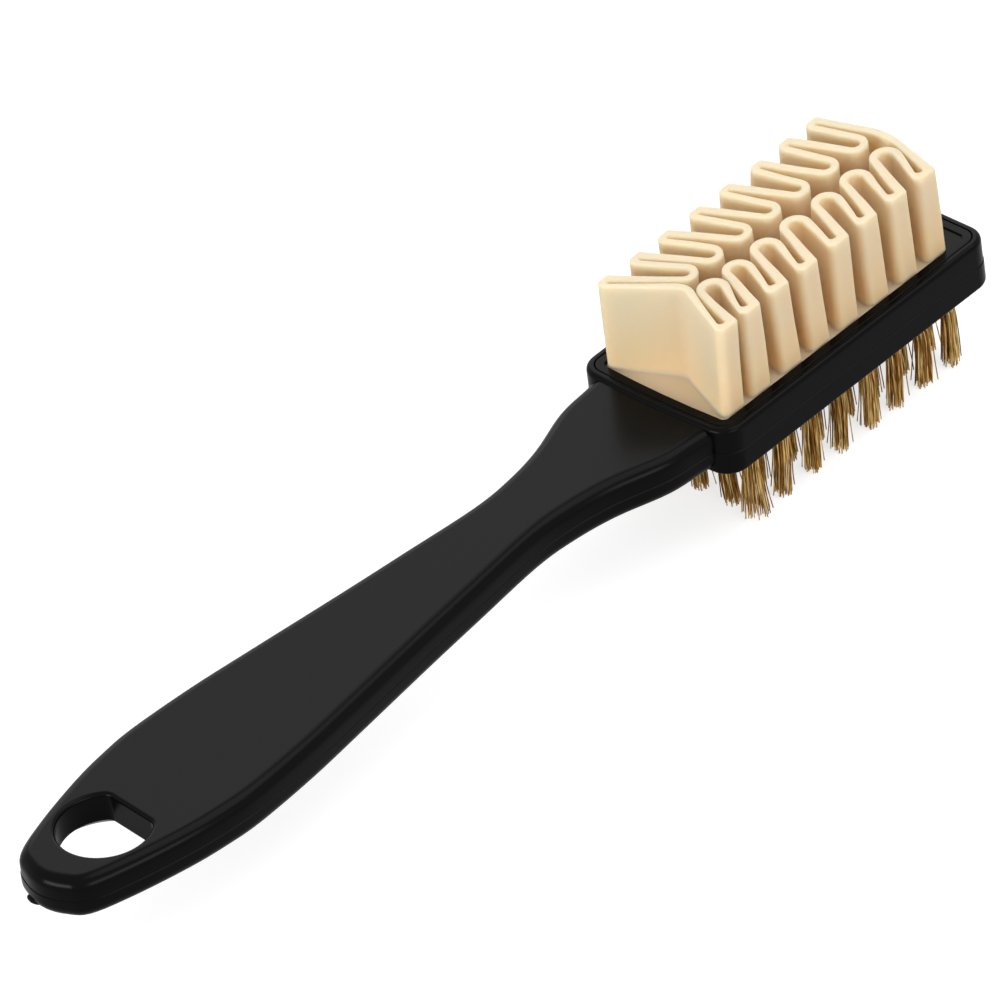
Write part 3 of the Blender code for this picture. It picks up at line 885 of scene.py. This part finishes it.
def floorMaterial(setting):
    material, tree = newMaterial("matPaperSweep")
    light = addNode(tree, "ShaderNodeMath", {"operation": "MULTIPLY"}, {1: setting["ownLight"]},
                    {0: seenShare(tree, setting["mirroredShare"])})
    paper = addNode(tree, "ShaderNodeBsdfDiffuse", values={"Color": linear(setting["colour"])})
    glow = addNode(tree, "ShaderNodeEmission", values={"Color": (1, 1, 1, 1)},
                   links={"Strength": light.outputs["Value"]})
    both = addNode(tree, "ShaderNodeAddShader", links={0: paper.outputs["BSDF"], 1: glow.outputs["Emission"]})
    output = addNode(tree, "ShaderNodeOutputMaterial")
    tree.links.new(both.outputs["Shader"], output.inputs["Surface"])
    return material


deselectAll()
bpy.ops.mesh.primitive_plane_add(size=floorSetting["size"], location=(0, 0, 0))
floor = bpy.context.object
floor.name = "floor"
floor.data.materials.append(floorMaterial(floorSetting))

# Soft lamps, each with its place and size in metres and its power in watts, all turned to one point
lampAim = (0.03, 0, 0.015)
lampSetting = {
    "frontLamp": ((-1.1, 0.1, 0.26), (0.7, 0.4), 8.2),
    "nearLamp": ((-0.1, -1.1, 0.35), (0.7, 0.4), 3.9),
    "topLamp": ((0.42, -0.38, 1.0), (0.8, 0.8), 4.7),
    "headLamp": ((0.32, 0.35, 0.37), (0.5, 0.5), 1.1),
}
for lampName, (place, size, power) in lampSetting.items():
    bpy.ops.object.light_add(type="AREA", location=place)
    lamp = bpy.context.object
    lamp.name = lampName
    lamp.data.shape = "RECTANGLE"
    lamp.data.size, lamp.data.size_y = size
    lamp.data.energy = power
    lamp.rotation_euler = (Vector(lampAim) - Vector(place)).to_track_quat("-Z", "Y").to_euler()

# White surroundings, dimmer where they only light the brush than where they are seen
worldSetting = {"lighting": 0.45, "seen": 1.0, "mirroredShare": 1.0}
world = bpy.data.worlds.new("studio")
bpy.context.scene.world = world
world.use_nodes = True
tree = world.node_tree
tree.nodes.clear()
strength = addNode(tree, "ShaderNodeMapRange", None,
                   {"To Min": worldSetting["lighting"], "To Max": worldSetting["seen"]},
                   {"Value": seenShare(tree, worldSetting["mirroredShare"])})
background = addNode(tree, "ShaderNodeBackground", values={"Color": (1, 1, 1, 1)},
                     links={"Strength": strength.outputs["Result"]})
output = addNode(tree, "ShaderNodeOutputWorld")
tree.links.new(background.outputs["Background"], output.inputs["Surface"])
bpy.context.scene.view_settings.view_transform = "Standard"
print("studio lit")
